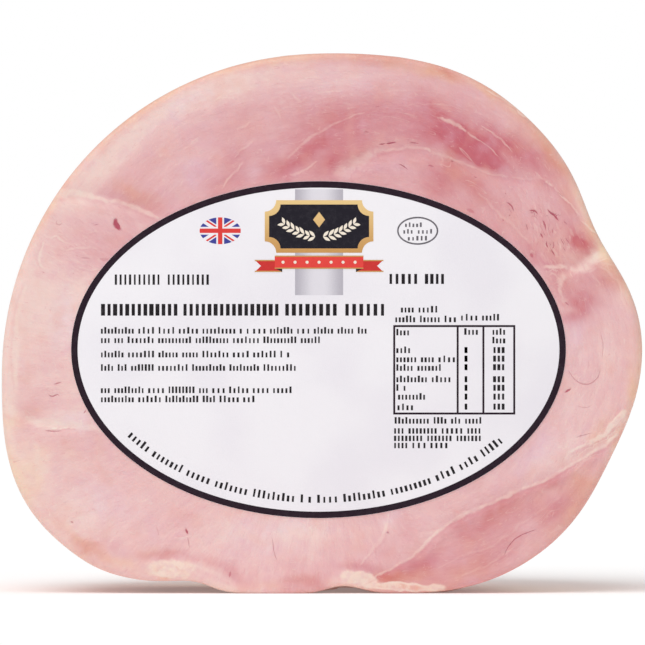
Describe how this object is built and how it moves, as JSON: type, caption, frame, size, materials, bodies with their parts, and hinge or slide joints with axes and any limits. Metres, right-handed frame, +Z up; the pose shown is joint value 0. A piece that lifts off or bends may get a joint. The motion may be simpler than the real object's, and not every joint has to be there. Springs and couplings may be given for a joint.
{
  "type": "cooked ham",
  "caption": "Half of a boneless cooked ham lying on its side, with a flat cut face, a rounded end and an oval paper label.",
  "frame": {"origin": "on the surface that the ham lies on, under the middle of its box", "axes": "+X to the right along the cut face, -Y straight out of the cut face, +Z up"},
  "size_m": [0.2254, 0.127, 0.1897],
  "materials": {
    "ham": "moist cooked meat, soft sheen",
    "label_paper": "smooth white paper, damp",
    "ink_black": "printed near-black ink",
    "ink_red": "printed red ink",
    "ink_blue": "printed blue ink",
    "ink_gold": "printed gold ink",
    "ink_grey": "printed grey ink"
  },
  "bodies": {
    "root": {"ham": "ham", "label": "label_paper"}
  },
  "joints": []
}
